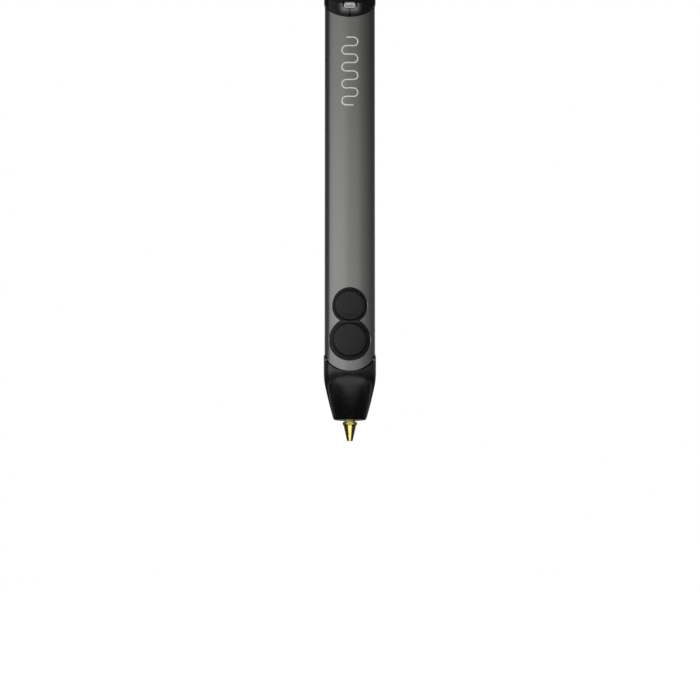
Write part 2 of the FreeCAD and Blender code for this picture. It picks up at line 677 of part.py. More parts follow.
def power_jack():
    shape = rod(JACK_R, JACK_Z[0], JACK_Z[1], 0, JACK_Y)
    shape = shape.cut(rod(JACK_BORE_R, JACK_FLOOR, JACK_Z[1] + 1, 0, JACK_Y))
    return shape.cut(rod(JACK_TAIL_R + 0.02, JACK_Z[0] - 1, JACK_FLOOR + 1, 0, JACK_Y))


def jack_pin():
    pin = rod(JACK_PIN_R, JACK_FLOOR + 0.02, JACK_Z[1] - 1.2, 0, JACK_Y)
    tip = [e for e in pin.Edges if e.BoundBox.ZMin > JACK_Z[1] - 1.3]
    pin = pin.makeFillet(0.25, tip)
    return pin.fuse(rod(JACK_TAIL_R, JACK_Z[0] + 0.2, JACK_FLOOR + 0.1, 0, JACK_Y))


def jack_contact():
    """Leaf that grips the plug's sleeve."""
    y = JACK_Y + JACK_BORE_R
    return box(-0.4, 0.4, y - 0.28, y - 0.12, JACK_FLOOR + 0.02, JACK_Z[1] - 3)


def tail_screws():
    screws = []
    for x in (-SCREW_X, SCREW_X):
        head = rod(1.4, LENGTH - 1.08, LENGTH - 0.2, x)
        screw = head.fuse(rod(0.78, 152.0, LENGTH - 1.0, x)).removeSplitter()
        for turn in (0, 90):
            slot = box(-0.9, 0.9, -0.17, 0.17, LENGTH - 0.65, LENGTH)
            slot.rotate(Vector(0, 0, 0), Z, turn + 45)
            slot.translate(Vector(x, 0, 0))
            screw = screw.cut(slot)
        screws.append(screw)
    return Part.makeCompound(screws)


# ---- electronics ---------------------------------------------------------------------
def control_board():
    z0, z1 = BOARD_Z
    narrow = box(-2.8, 2.8, BOARD_FRONT, BOARD_BACK, z0, 52)
    wide = box(-4.6, 4.6, BOARD_FRONT, BOARD_BACK, 51, z1)
    return narrow.fuse(wide).removeSplitter()


def chips(places, half_w, half_h, height):
    """Flat parts soldered on the board's front, one at each height in places."""
    front = BOARD_FRONT
    return Part.makeCompound(
        [box(-half_w, half_w, front - height, front, z - half_h, z + half_h) for z in places]
    )


def capacitors():
    parts = []
    for z in (58.0, 62.0, 66.0, 112.0, 116.0):
        for x in (-2.2, 2.2):
            parts.append(box(x - 0.8, x + 0.8, BOARD_FRONT - 0.9, BOARD_FRONT, z, z + 0.9))
    return Part.makeCompound(parts)


def heater_leads():
    y_end = BOARD_BACK
    return lead_pair(
        [(HEATER_R + 0.42, 0, 15.0 + 2.1), (HEATER_R + 0.42, 0, 19.0), (4.7, 0, 22.5),
         (4.7, 0, 32.0), (3.0, y_end + 1.6, 37.0), (3.0, y_end, 37.0)],
        0.38, 0.8,
    )


def thermistor_leads():
    y0 = -(BARREL_R + 1.45)
    return lead_pair(
        [(0.45, y0, 19.4), (0.45, y0, 30.0), (0.8, BOARD_BACK + 0.4, 34.0),
         (0.8, BOARD_BACK + 0.22, 39.0)],
        0.2, 1.0,
    )


def motor_leads():
    z = MOTOR_TOP + 3.02
    return lead_pair(
        [(1.3, MOTOR_Y, z), (1.3, MOTOR_Y, z + 4), (3.4, 2.5, z + 7), (3.4, BOARD_BACK, z + 7)],
        0.38, 1.0,
    )


def power_leads():
    z = JACK_Z[0] - 0.02
    return lead_pair(
        [(1.5, JACK_Y, z), (1.5, JACK_Y, 144.5), (3.5, JACK_Y - 1.6, 144.5),
         (3.5, BOARD_BACK, 144.5)],
        0.38, 0.7,
    )


# ---- nodes ---------------------------------------------------------------------------
def nodes():
    """Every separate piece, by node name."""
    return {
        "body_tube": body_tube(),
        "nose_housing": nose_housing(),
        "switch_collar": switch_collar(),
        "tail_cap": tail_cap(),
        "maintenance_cover": maintenance_cover(),
        "button_frame": button_frame(),
        "fast_button": button_cap(FAST_R, FAST_DISH_R, FAST_Z),
        "slow_button": button_cap(SLOW_R, SLOW_DISH_R, SLOW_Z),
        "fast_switch_body": tact_body(FAST_Z),
        "slow_switch_body": tact_body(SLOW_Z),
        "fast_switch_plunger": tact_plunger(FAST_Z),
        "slow_switch_plunger": tact_plunger(SLOW_Z),
        "mode_knob": mode_knob(),
        "mode_switch_body": mode_switch(),
        "mode_switch_actuator": mode_actuator(),
        "nozzle": nozzle(),
        "melt_barrel": melt_barrel(),
        "heater_sleeve": tube(HEATER_R, BARREL_R + 0.02, *HEATER_Z),
        "heat_shield": tube(SHIELD_R, SHIELD_R - 0.2, *SHIELD_Z),
        "insulator": insulator(),
        "thermistor": thermistor(),
        "lower_guide_tube": tube(GUIDE_OUT_R, GUIDE_R, 33.05, BRACKET_Z[0] - 0.1),
        "upper_guide_tube": tube(GUIDE_OUT_R, GUIDE_R, BRACKET_Z[1] + 0.1, 150.95),
        "feed_nut": feed_nut(),
        "feed_bushes": feed_bushes(),
        "drive_bracket": drive_bracket(),
        "drive_pinion": drive_pinion(),
        "output_shaft": output_shaft(),
        "gearbox_case": gearbox_case(),
        "motor_can": motor_can(),
        "motor_end_cap": motor_end_cap(),
        "motor_terminals": motor_terminals(),
        "nose_block": nose_block(),
        "chassis": chassis(),
        "tail_block": tail_block(),
        "port_liner": port_liner(),
        "power_jack": power_jack(),
        "jack_pin": jack_pin(),
        "jack_contact": jack_contact(),
        "tail_screws": tail_screws(),
        "control_board": control_board(),
        "microcontroller": chips([100.0], 2.5, 2.5, 0.9),
        "power_drivers": chips([74.0, 84.0], 2.0, 2.5, 1.1),
        "capacitors": capacitors(),
        "status_led": chips([139.8], 0.8, 0.5, 0.6),
        "heater_leads": heater_leads(),
        "thermistor_leads": thermistor_leads(),
        "motor_leads": motor_leads(),
        "power_leads": power_leads(),
    }


def main():
    os.makedirs("parts", exist_ok=True)
    for name, shape in nodes().items():
        if not shape.isValid() or not shape.Solids:
            print("not a valid solid:", name)
        shape.exportStep(os.path.join("parts", name + ".step"))


main()
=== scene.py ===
import json
import math

import bmesh
import bpy
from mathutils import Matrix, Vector

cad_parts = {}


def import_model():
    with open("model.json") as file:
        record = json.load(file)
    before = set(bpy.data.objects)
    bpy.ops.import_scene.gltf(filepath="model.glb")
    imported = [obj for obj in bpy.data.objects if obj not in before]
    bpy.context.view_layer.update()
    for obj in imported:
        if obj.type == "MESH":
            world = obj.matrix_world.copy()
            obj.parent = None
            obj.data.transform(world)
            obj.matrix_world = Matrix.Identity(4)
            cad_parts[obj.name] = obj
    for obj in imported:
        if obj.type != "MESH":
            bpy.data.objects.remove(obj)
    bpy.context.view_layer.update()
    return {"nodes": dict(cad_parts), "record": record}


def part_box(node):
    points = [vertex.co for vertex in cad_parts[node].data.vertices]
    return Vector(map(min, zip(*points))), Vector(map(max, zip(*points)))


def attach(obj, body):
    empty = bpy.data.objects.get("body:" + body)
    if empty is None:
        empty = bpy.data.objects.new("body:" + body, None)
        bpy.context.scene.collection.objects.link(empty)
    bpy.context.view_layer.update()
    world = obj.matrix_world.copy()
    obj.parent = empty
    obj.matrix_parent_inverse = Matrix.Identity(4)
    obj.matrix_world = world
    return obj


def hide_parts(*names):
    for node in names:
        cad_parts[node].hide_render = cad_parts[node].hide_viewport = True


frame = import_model()

# Lengths are metres. The frame is the CAD's: +Z from nozzle to tail, -Y the front.
MM = 0.001
UM = 1e-6

# ---- the oval that the body follows: four tangent arcs --------------------------------
TUBE_LOW, TUBE_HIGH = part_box("body_tube")
HALF_WIDTH = TUBE_HIGH.x
HALF_DEPTH = TUBE_HIGH.y
END_C = 2.0 * MM               # centres of the front and back arcs, off the axis in Y
END_R = HALF_DEPTH - END_C
SPREAD = HALF_WIDTH - END_R
SIDE_C = (END_C**2 - SPREAD**2) / (2 * SPREAD)
SIDE_R = HALF_WIDTH + SIDE_C
END_SWEEP = math.atan2(SIDE_C, END_C)    # normal's turn where an end arc meets a side arc


def oval(turn, grow):
    """Point of the oval whose outward normal is turned that far from the front, to +X."""
    turn = math.remainder(turn, 2 * math.pi)
    if abs(turn) <= END_SWEEP:
        x, y, radius = 0.0, -END_C, END_R
    elif abs(turn) >= math.pi - END_SWEEP:
        x, y, radius = 0.0, END_C, END_R
    else:
        x, y, radius = -math.copysign(SIDE_C, turn), 0.0, SIDE_R
    reach = radius + grow
    return x + reach * math.sin(turn), y - reach * math.cos(turn)


def front_y(x, grow):
    """Y of the oval's front at x, the oval grown outwards by grow."""
    if abs(x) <= (END_R + grow) * math.sin(END_SWEEP):
        return -(END_C + math.sqrt((END_R + grow) ** 2 - x * x))
    reach = (SIDE_R + grow) ** 2 - (abs(x) + SIDE_C) ** 2
    return -math.sqrt(max(reach, 0.0))


def smoothstep(t):
    t = min(1.0, max(0.0, t))
    return t * t * (3 - 2 * t)


# ---- mesh helpers --------------------------------------------------------------------
def link(name, data):
    """New object in the scene."""
    obj = bpy.data.objects.new(name, data)
    bpy.context.scene.collection.objects.link(obj)
    return obj


def add_object(name, bm, sharp=35.0):
    """Object from a finished bmesh, smooth except over edges sharper than that angle."""
    bmesh.ops.recalc_face_normals(bm, faces=bm.faces)
    mesh = bpy.data.meshes.new(name)
    bm.to_mesh(mesh)
    bm.free()
    for face in mesh.polygons:
        face.use_smooth = True
    mesh.set_sharp_from_angle(angle=math.radians(sharp))
    return link(name, mesh)


def bands(bm, loops, closed=False):
    """Bands of faces between loops of equal length; closed joins the last to the first."""
    rings = [[bm.verts.new(p) for p in loop] for loop in loops]
    following = rings[1:] + (rings[:1] if closed else [])
    for low, high in zip(rings, following):
        for i in range(len(low)):
            j = (i + 1) % len(low)
            bm.faces.new((low[i], low[j], high[j], high[i]))
    return rings


def skin(bm, loops, start=None, end=None):
    """Closed skin over loops of equal length, with a pole or a flat face at each end."""
    rings = bands(bm, loops)
    for ring, pole in ((rings[0], start), (rings[-1], end)):
        if pole is None:
            bm.faces.new(ring)
            continue
        tip = bm.verts.new(pole)
        for i in range(len(ring)):
            bm.faces.new((ring[i], ring[(i + 1) % len(ring)], tip))


# ---- material helpers ----------------------------------------------------------------
class Shader:
    """A Principled material with short calls for the nodes that the finishes share."""

    def __init__(self, name):
        self.material = bpy.data.materials.new(name)
        self.material.use_nodes = True
        self.tree = self.material.node_tree
        self.bsdf = self.tree.nodes["Principled BSDF"]
        self.coords = self.add("ShaderNodeTexCoord").outputs["Object"]

    def add(self, kind, **settings):
        made = self.tree.nodes.new(kind)
        for key, value in settings.items():
            setattr(made, key, value)
        return made

    def feed(self, socket, value):
        if isinstance(value, bpy.types.NodeSocket):
            self.tree.links.new(value, socket)
        else:
            socket.default_value = value

    def math(self, operation, a, b=0.0):
        made = self.add("ShaderNodeMath", operation=operation)
        self.feed(made.inputs[0], a)
        self.feed(made.inputs[1], b)
        return made.outputs[0]

    def hypot(self, a, b):
        """Square root of a squared plus b squared."""
        return self.math("SQRT", self.math("ADD", self.math("MULTIPLY", a, a),
                                           self.math("MULTIPLY", b, b)))

    def ramp(self, value, low, high, out_low, out_high, smooth=False):
        """Maps value from low..high to out_low..out_high, and stops at both ends."""
        made = self.add("ShaderNodeMapRange")
        if smooth:
            made.interpolation_type = "SMOOTHSTEP"
        for socket, item in zip(made.inputs, (value, low, high, out_low, out_high)):
            self.feed(socket, item)
        return made.outputs[0]

    def place(self):
        """The point's X, Y and Z."""
        made = self.add("ShaderNodeSeparateXYZ")
        self.feed(made.inputs[0], self.coords)
        return made.outputs

    def noise(self, per_mm, detail=3.0, stretch=(1.0, 1.0, 1.0), roughness=0.5):
        """Noise with that many cells to the millimetre; stretch below 1 draws them out."""
        mapping = self.add("ShaderNodeMapping")
        self.feed(mapping.inputs["Vector"], self.coords)
        mapping.inputs["Scale"].default_value = stretch
        made = self.add("ShaderNodeTexNoise")
        self.feed(made.inputs["Vector"], mapping.outputs[0])
        made.inputs["Scale"].default_value = per_mm / MM
        made.inputs["Detail"].default_value = detail
        made.inputs["Roughness"].default_value = roughness
        return made.outputs["Fac"]

    def blend(self, amount, a, b):
        made = self.add("ShaderNodeMix", data_type="RGBA")
        self.feed(made.inputs["Factor"], amount)
        self.feed(made.inputs["A"], a)
        self.feed(made.inputs["B"], b)
        return made.outputs["Result"]

    def bump(self, height, depth):
        made = self.add("ShaderNodeBump")
        made.inputs["Strength"].default_value = 1.0
        made.inputs["Distance"].default_value = depth
        self.feed(made.inputs["Height"], height)
        return made.outputs[0]

    def set(self, **values):
        for key, value in values.items():
            self.feed(self.bsdf.inputs[key.replace("_", " ")], value)


def shade(colour, factor):
    """Opaque colour made darker or lighter by that factor."""
    return tuple(min(1.0, c * factor) for c in colour[:3]) + (1.0,)


def grained(name, colour, rough, metallic=0.0, spread=0.12, rough_spread=0.05,
            per_mm=4.0, stretch=(1.0, 1.0, 1.0), depth=2 * UM):
    """Finish with a fine grain: colour, roughness and height vary together."""
    s = Shader(name)
    fine = s.noise(per_mm, 4.0, stretch)
    broad = s.noise(per_mm / 14, 2.0, stretch)
    tint = s.blend(fine, shade(colour, 1 - spread), shade(colour, 1 + spread))
    s.set(Base_Color=s.blend(s.ramp(broad, 0.3, 0.7, 0, 0.5), tint, shade(colour, 1 - spread)))
    s.set(Roughness=s.ramp(fine, 0.3, 0.7, rough - rough_spread, rough + rough_spread))
    s.set(Metallic=metallic, Normal=s.bump(fine, depth))
    return s.material


# ---- finishes ------------------------------------------------------------------------
FLANGE = 0.7 * MM              # the button frame's hidden flange, wider than its opening
CHAMFER = 0.2 * MM             # bright edge of the tube's openings
GUNMETAL = (0.275, 0.275, 0.268)
BARE_METAL = (0.62, 0.62, 0.61, 1.0)
BARE_ROUGH = 0.33
# Painted reflection: the gloss collar's colour is lightened round the slider's notch, in place of
# the halo it would reflect there.
HALO_HALF = 1.6 * MM            # middle of the collar's painted reflection, each way in X
HALO_Z = 141.9 * MM             # its lower end
HALO_NEAR = 0.3 * MM            # the patch fades out between these distances
HALO_REACH = 2.7 * MM
HALO_FADE = 2.2
PAINTED_HALO_TINT = (0.36, 0.36, 0.365, 1.0)
HALO_FRONT = -5.0 * MM          # Y behind which nothing is painted


def middle(node):
    low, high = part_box(node)
    return (low + high) / 2


def opening_circles():
    """Height and radius of the two circles that make the tube's button opening."""
    low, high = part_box("button_frame")
    upper = middle("fast_button").z
    lower = middle("slow_button").z
    return ((upper, high.z - FLANGE - upper), (lower, lower - low.z - FLANGE))


def anodised():
    """Aluminium brushed along its length and dyed grey; the cut edges are bare metal."""
    s = Shader("anodised_tube")
    streaks = s.noise(9.0, 5.0, (1.0, 1.0, 0.025), 0.6)
    clouds = s.noise(0.12, 2.0, (1.0, 1.0, 0.4))
    specks = s.noise(16.0, 1.0)
    tint = s.blend(streaks, shade(GUNMETAL, 0.92), shade(GUNMETAL, 1.08))
    tint = s.blend(s.ramp(clouds, 0.35, 0.65, 0.0, 0.3), tint, shade(GUNMETAL, 0.93))
    place = s.place()
    edge = 0.0
    for height, radius in opening_circles():
        distance = s.hypot(place["X"], s.math("SUBTRACT", place["Z"], height))
        ring = s.ramp(distance, radius + 0.7 * CHAMFER, radius + 1.1 * CHAMFER, 1.0, 0.0)
        edge = s.math("MAXIMUM", edge, ring)
    edge = s.math("MULTIPLY", edge, s.math("LESS_THAN", place["Y"], 0.0))
    s.set(Base_Color=s.blend(edge, tint, BARE_METAL))
    rough = s.ramp(streaks, 0.3, 0.7, 0.21, 0.28)
    s.set(Roughness=s.blend(edge, rough, (BARE_ROUGH, BARE_ROUGH, BARE_ROUGH, 1.0)))
    grain = s.math("ADD", streaks, s.math("MULTIPLY", specks, 0.35))
    s.set(Metallic=1.0, Normal=s.bump(grain, 1.6 * UM))
    return s.material


def turned_brass():
    """Polished brass with the fine rings of a lathe and a heat tint at the hot tip."""
    s = Shader("brass")
    rings = s.noise(14.0, 2.0, (0.02, 0.02, 1.0))
    stain = s.noise(0.8, 3.0)
    bright = s.blend(rings, (0.84, 0.7, 0.19, 1), (0.93, 0.8, 0.27, 1))
    bright = s.blend(s.ramp(stain, 0.5, 0.75, 0.0, 0.3), bright, (0.7, 0.54, 0.12, 1))
    heat = s.ramp(s.place()["Z"], 0.0, 1.2 * MM, 0.35, 0.0, True)
    s.set(Base_Color=s.blend(heat, bright, (0.6, 0.42, 0.12, 1)))
    s.set(Roughness=s.ramp(rings, 0.3, 0.7, 0.1, 0.17))
    s.set(Metallic=1.0, Normal=s.bump(rings, 0.5 * UM))
    return s.material


def moulded(name, colour, rough, depth=3 * UM, per_mm=7.0, specular=0.5):
    """Moulded plastic: spark-eroded grain with faint flow marks and handling shine."""
    s = Shader(name)
    grain = s.noise(per_mm, 4.0)
    flow = s.noise(0.25, 2.0, (1.0, 1.0, 0.3))
    rub = s.noise(0.6, 3.0)
    tint = s.blend(grain, shade(colour, 0.8), shade(colour, 1.25))
    s.set(Base_Color=s.blend(s.ramp(flow, 0.35, 0.65, 0.0, 0.5), tint, shade(colour, 1.35)))
    spread = s.ramp(rub, 0.35, 0.65, rough + 0.03, rough - 0.03)
    s.set(Roughness=s.math("ADD", spread, s.ramp(grain, 0.3, 0.7, -0.03, 0.03)))
    s.set(Metallic=0.0, Normal=s.bump(grain, depth), Specular_IOR_Level=specular)
    return s.material


def painted_halo(s, tint):
    """Painted reflection: lightens the collar's colour round the slider's notch, in place of a
    reflected halo.
    """
    place = s.place()
    beside = s.math("SUBTRACT", s.math("ABSOLUTE", place["X"]), HALO_HALF)
    below = s.math("SUBTRACT", HALO_Z, place["Z"])
    away = s.hypot(s.math("MAXIMUM", beside, 0.0), s.math("MAXIMUM", below, 0.0))
    amount = s.math("POWER", s.ramp(away, HALO_NEAR, HALO_REACH, 1.0, 0.0), HALO_FADE)
    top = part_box("tail_cap")[0].z - 0.1 * MM
    for axis, limit in (("Y", HALO_FRONT), ("Z", top)):
        amount = s.math("MULTIPLY", amount, s.math("LESS_THAN", place[axis], limit))
    return s.blend(amount, tint, PAINTED_HALO_TINT)


def polished(name, colour, rough, specular=0.5, painted_highlight=False):
    """Gloss plastic: a smooth skin with fine wipe marks and a little orange peel."""
    s = Shader(name)
    peel = s.noise(1.4, 1.0)
    wipes = s.noise(5.0, 3.0, (1.0, 1.0, 0.15))
    tint = s.blend(wipes, shade(colour, 0.7), shade(colour, 1.4))
    # the painted reflection round the notch, where it is asked for
    s.set(Base_Color=painted_halo(s, tint) if painted_highlight else tint)
    s.set(Roughness=s.ramp(wipes, 0.35, 0.7, rough, rough + 0.06))
    s.set(Metallic=0.0, Normal=s.bump(peel, 1.5 * UM), Specular_IOR_Level=specular)
    return s.material


def frame_moulding():
    """Dull black frame, with a painted highlight: lighter on the narrow bridge between the two
    buttons, where its ridge would catch the light.
    """
    s = Shader("frame_black")
    grain = s.noise(8.0, 3.0)
    rub = s.noise(0.8, 2.0)
    bridge = (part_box("fast_button")[0].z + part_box("slow_button")[1].z) / 2
    away = s.math("ABSOLUTE", s.math("SUBTRACT", s.place()["Z"], bridge))
    # painted highlight along the bridge's ridge
    painted_highlight = s.ramp(away, 0.1 * MM, 0.45 * MM, 1.0, 0.0, True)
    tint = s.blend(grain, (0.0018, 0.0018, 0.002, 1), (0.003, 0.003, 0.0033, 1))
    # the bridge's colour is lightened to a painted highlight
    s.set(Base_Color=s.blend(painted_highlight, tint, (0.022, 0.022, 0.023, 1)))
    s.set(Roughness=s.ramp(rub, 0.35, 0.65, 0.3, 0.36), Specular_IOR_Level=0.28)
    s.set(Metallic=0.0, Normal=s.bump(grain, 1.0 * UM))
    return s.material


def laminate():
    """Circuit board: solder mask over copper tracks."""
    s = Shader("board_green")
    tracks = s.add("ShaderNodeTexBrick")
    mapping = s.add("ShaderNodeMapping")
    s.feed(mapping.inputs["Vector"], s.coords)
    mapping.inputs["Rotation"].default_value = (math.radians(90), 0, 0)
    s.feed(tracks.inputs["Vector"], mapping.outputs[0])
    tracks.inputs["Scale"].default_value = 420.0
    tracks.inputs["Mortar Size"].default_value = 0.06
    s.feed(tracks.inputs["Color1"], (0.012, 0.09, 0.04, 1))
    s.feed(tracks.inputs["Color2"], (0.016, 0.11, 0.05, 1))
    s.feed(tracks.inputs["Mortar"], (0.04, 0.22, 0.1, 1))
    s.set(Base_Color=tracks.outputs["Color"], Metallic=0.0)
    s.set(Roughness=s.ramp(s.noise(3.0), 0.3, 0.7, 0.22, 0.34))
    s.set(Normal=s.bump(tracks.outputs["Fac"], 8 * UM))
    return s.material


def clear(name, colour, rough):
    """Glass with faint streaks inside."""
    s = Shader(name)
    streaks = s.noise(2.0, 2.0)
    s.set(Base_Color=s.blend(streaks, shade(colour, 0.85), shade(colour, 1.1)))
    s.set(Roughness=s.ramp(streaks, 0.3, 0.7, rough, rough + 0.08))
    s.set(Transmission_Weight=0.7, IOR=1.5, Metallic=0.0)
    return s.material


def braided(name, colour, rough):
    """Sleeving of a wire, with the weave of its strands."""
    s = Shader(name)
    weave = s.add("ShaderNodeTexWave", bands_direction="DIAGONAL")
    s.feed(weave.inputs["Vector"], s.coords)
    weave.inputs["Scale"].default_value = 900.0
    weave.inputs["Distortion"].default_value = 1.5
    s.set(Base_Color=s.blend(weave.outputs["Fac"], shade(colour, 0.75), shade(colour, 1.1)))
    s.set(Roughness=s.ramp(weave.outputs["Fac"], 0.0, 1.0, rough + 0.08, rough - 0.04))
    s.set(Metallic=0.0, Normal=s.bump(weave.outputs["Fac"], 10 * UM))
    return s.material


def all_finishes():
    along = (1.0, 1.0, 0.05)
    return {
        "anodised_tube": anodised(),
        "satin_black": moulded("satin_black", (0.0035, 0.0035, 0.0037), 0.15, 0.5 * UM),
        "frame_black": frame_moulding(),
        # gloss_black is lightened round the slider's notch: a painted reflection
        "gloss_black": polished("gloss_black", (0.003, 0.003, 0.0032), 0.12, 0.25, True),
        "button_black": moulded("button_black", (0.006, 0.006, 0.0065), 0.4, 2 * UM, 9.0, 0.45),
        "silver_knob": grained("silver_knob", (0.7, 0.7, 0.705), 0.24, 1.0, 0.03, 0.02, 9.0,
                              depth=0.3 * UM),
        "brass": turned_brass(),
        "steel": grained("steel", (0.6, 0.61, 0.62), 0.25, 1.0, 0.06, stretch=(0.1, 0.1, 1.0)),
        "dark_steel": grained("dark_steel", (0.1, 0.1, 0.105), 0.35, 1.0, per_mm=6.0),
        "ceramic_white": grained("ceramic_white", (0.82, 0.81, 0.79), 0.6, per_mm=5.0),
        "insulator_polymer": moulded("insulator_polymer", (0.55, 0.38, 0.2), 0.5),
        "heat_shield_foil": grained("heat_shield_foil", (0.85, 0.85, 0.86), 0.18, 1.0, 0.05),
        "guide_ptfe": moulded("guide_ptfe", (0.82, 0.82, 0.79), 0.42, 1 * UM),
        "frame_plastic": moulded("frame_plastic", (0.05, 0.05, 0.053), 0.5),
        "motor_steel": grained("motor_steel", (0.68, 0.68, 0.69), 0.22, 1.0, 0.05, stretch=along),
        "motor_plastic": polished("motor_plastic", (0.75, 0.7, 0.55), 0.3),
        "board_green": laminate(),
        "chip_black": moulded("chip_black", (0.02, 0.02, 0.021), 0.55),
        "capacitor_tan": grained("capacitor_tan", (0.45, 0.29, 0.15), 0.4),
        "led_lens": clear("led_lens", (0.9, 0.95, 0.9), 0.08),
        "glass_bead": clear("glass_bead", (0.75, 0.35, 0.15), 0.05),
        "wire_red": braided("wire_red", (0.5, 0.03, 0.02), 0.5),
        "wire_white": braided("wire_white", (0.8, 0.8, 0.78), 0.6),
    }


FINISHES = all_finishes()


def coat(obj, slot):
    """Gives an object the finish of a record's slot."""
    obj.data.materials.clear()
    obj.data.materials.append(FINISHES[slot])


def settle(obj, slot, body, *nodes):
    """Finishes a piece: its coat, the body it rides on and the nodes it stands for."""
    coat(obj, slot)
    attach(obj, body)
    if nodes:
        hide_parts(*nodes)
    return obj


for part in frame["record"]["subparts"]:
    coat(frame["nodes"][part["node"]], part["material_slot"])


# ---- buttons -------------------------------------------------------------------------
ROUND = 96                     # points of a full circle
BUTTON_FLANGE = 0.3 * MM       # the CAD cap's hidden rim, wider than what shows
CROWN = 0.2 * MM               # how far the caps stand proud of the oval
SHOULDER = 0.75 * MM           # width of the cap's rounded outer shoulder
SHOULDER_DROP = 0.5 * MM
DISH_DROP = 0.36 * MM
DISH_CURVE = 2.6               # power of the dish's profile
SKIRT = 1.4 * MM               # straight side below the shoulder
HOLLOW = -1.1 * MM             # back of the dish; behind it the cap is open for its switch
DISH_RINGS = 14
SHOULDER_RINGS = 8
HOLLOW_RINGS = 4


def button(name, node, body):
    """Cap with a concave finger dish, a soft crest round it and a rounded shoulder."""
    low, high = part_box(node)
    mid_z = (low.z + high.z) / 2
    radius = (high.z - low.z) / 2 - BUTTON_FLANGE
    crest = radius - SHOULDER

    def height(rho):
        if rho <= crest:
            return CROWN - DISH_DROP * (1 - (rho / crest) ** DISH_CURVE)
        t = (rho - crest) / SHOULDER
        return CROWN - SHOULDER_DROP * (1 - math.sqrt(max(0.0, 1 - t * t)))

    def loop(rho, lift):
        points = []
        for i in range(ROUND):
            a = 2 * math.pi * i / ROUND
            x = rho * math.cos(a)
            points.append((x, front_y(x, lift), mid_z + rho * math.sin(a)))
        return points

    reaches = [crest * i / DISH_RINGS for i in range(1, DISH_RINGS + 1)]
    reaches += [crest + SHOULDER * math.sin(math.pi / 2 * i / SHOULDER_RINGS)
                for i in range(1, SHOULDER_RINGS + 1)]
    loops = [loop(rho, height(rho)) for rho in reaches]
    bottom = CROWN - SHOULDER_DROP - SKIRT
    loops += [loop(radius, bottom), loop(crest, bottom)]
    loops += [loop(crest * i / HOLLOW_RINGS, HOLLOW) for i in range(HOLLOW_RINGS, 0, -1)]
    bm = bmesh.new()
    skin(bm, loops, (0, front_y(0, height(0)), mid_z), (0, front_y(0, HOLLOW), mid_z))
    settle(add_object(name, bm), "button_black", body, node)


# ---- switch collar -------------------------------------------------------------------
COLLAR_R = 9.35 * MM           # arc of its lower edge
SEAM_R = 12.25 * MM            # arc of its upper edge
NOTCH_DEPTH = 1.4 * MM         # below the upper edge's lowest point
NOTCH_HALF = 2.5 * MM
NOTCH_CORNER = 0.5 * MM
LIP = 0.35 * MM                # rounding of the lower edge
TOP_LIP = 0.12 * MM
NOTCH_LIP = 0.16 * MM
FUNNEL = 2.1 * MM              # width of the hollow that leads in to the knob
FUNNEL_DEPTH = 0.12 * MM
FUNNEL_SQUEEZE = 1.35          # the hollow is this much narrower beside the notch
GROOVE_HALF = 0.27 * MM        # index groove under the knob
GROOVE_DEPTH = 0.5 * MM
GROOVE_START = 0.2 * MM        # below the notch, and how far it takes to reach full depth
GROOVE_RUN_IN = 0.4 * MM
COLLAR_INNER = -0.65 * MM      # inside of the wall, clear of the mode switch's actuator
COLLAR_ROWS = 44
CROWDING = 0.12                # how much the rows crowd towards both edges
COLLAR_SIDE_STEPS = 90
COLLAR_MARKS = (               # X of the mesh's columns across the front, in mm
    0.0, 0.05, 0.1, 0.16, 0.22, 0.27, 0.33, 0.42, 0.55, 0.7, 0.9, 1.1, 1.3, 1.5, 1.7, 1.85,
    2.0, 2.08, 2.16, 2.24, 2.31, 2.37, 2.42, 2.46, 2.485, 2.498, 2.502, 2.53, 2.6, 2.7, 2.85,
    3.0, 3.2, 3.4, 3.7, 4.0, 4.3,
)


def lip_drop(distance, radius):
    """How far a rounded edge has fallen at that distance from its end."""
    if distance >= radius:
        return 0.0
    return radius - math.sqrt(radius**2 - (radius - max(distance, 0.0)) ** 2)


